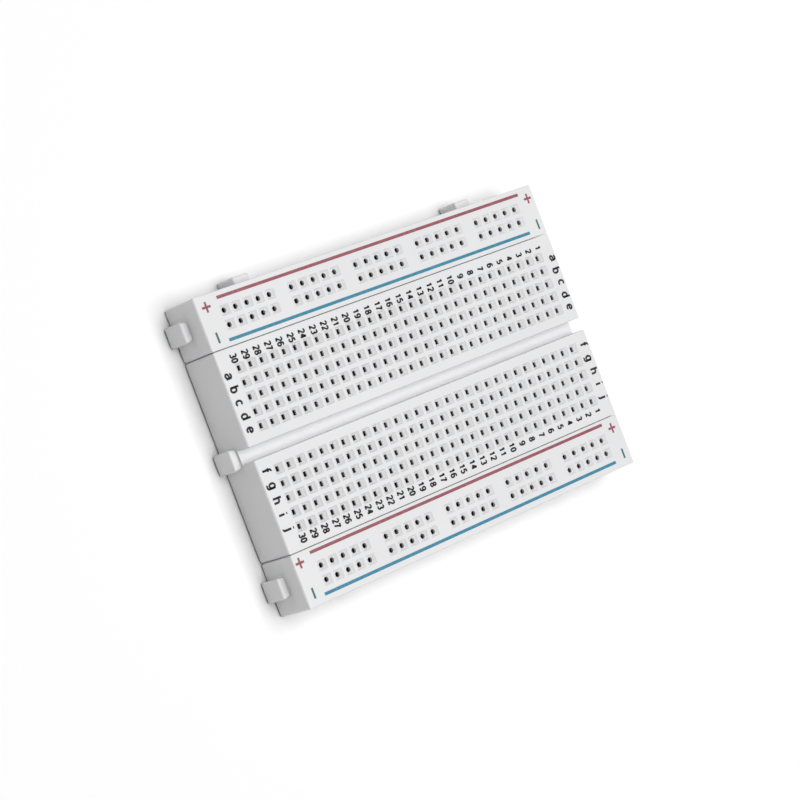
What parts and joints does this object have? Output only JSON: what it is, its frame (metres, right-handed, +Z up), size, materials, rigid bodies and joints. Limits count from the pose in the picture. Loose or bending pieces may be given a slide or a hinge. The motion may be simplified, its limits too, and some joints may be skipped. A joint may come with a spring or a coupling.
{
  "type": "solderless breadboard",
  "caption": "Flat white prototyping board: a grid of sprung sockets split by a central ravine, with striped power rails that clip to its long sides.",
  "frame": {"origin": "middle of the board's underside, on the centre line of the ravine and between columns 15 and 16, on the surface that the board lies on", "axes": "+X along the strips towards column 1, +Y across them towards the upper power rail, +Z up out of the tie points"},
  "size_m": [0.084, 0.0559, 0.0085],
  "materials": {
    "housing": "satin",
    "contact_plating": "polished",
    "foam": "matte",
    "liner": "matte"
  },
  "bodies": {
    "lower_rail": {"lower_power_rail": "housing", "lower_plus_clip": "contact_plating", "lower_minus_clip": "contact_plating", "lower_rail_foam_pad": "foam", "lower_rail_release_liner": "liner"},
    "terminal": {"terminal_strip": "housing", "column_01_clips": "contact_plating", "column_02_clips": "contact_plating", "column_03_clips": "contact_plating", "column_04_clips": "contact_plating", "column_05_clips": "contact_plating", "column_06_clips": "contact_plating", "column_07_clips": "contact_plating", "column_08_clips": "contact_plating", "column_09_clips": "contact_plating", "column_10_clips": "contact_plating", "column_11_clips": "contact_plating", "column_12_clips": "contact_plating", "column_13_clips": "contact_plating", "column_14_clips": "contact_plating", "column_15_clips": "contact_plating", "column_16_clips": "contact_plating", "column_17_clips": "contact_plating", "column_18_clips": "contact_plating", "column_19_clips": "contact_plating", "column_20_clips": "contact_plating", "column_21_clips": "contact_plating", "column_22_clips": "contact_plating", "column_23_clips": "contact_plating", "column_24_clips": "contact_plating", "column_25_clips": "contact_plating", "column_26_clips": "contact_plating", "column_27_clips": "contact_plating", "column_28_clips": "contact_plating", "column_29_clips": "contact_plating", "column_30_clips": "contact_plating", "terminal_foam_pad": "foam", "terminal_release_liner": "liner"},
    "upper_rail": {"upper_power_rail": "housing", "upper_plus_clip": "contact_plating", "upper_minus_clip": "contact_plating", "upper_rail_foam_pad": "foam", "upper_rail_release_liner": "liner"}
  },
  "joints": [
    {"name": "terminal_lift", "type": "slide", "parent": "lower_rail", "child": "terminal", "axis": [0, 0, 1], "range_m": [0, 0.005]},
    {"name": "upper_rail_lift", "type": "slide", "parent": "terminal", "child": "upper_rail", "axis": [0, 0, 1], "range_m": [0, 0.005]}
  ]
}
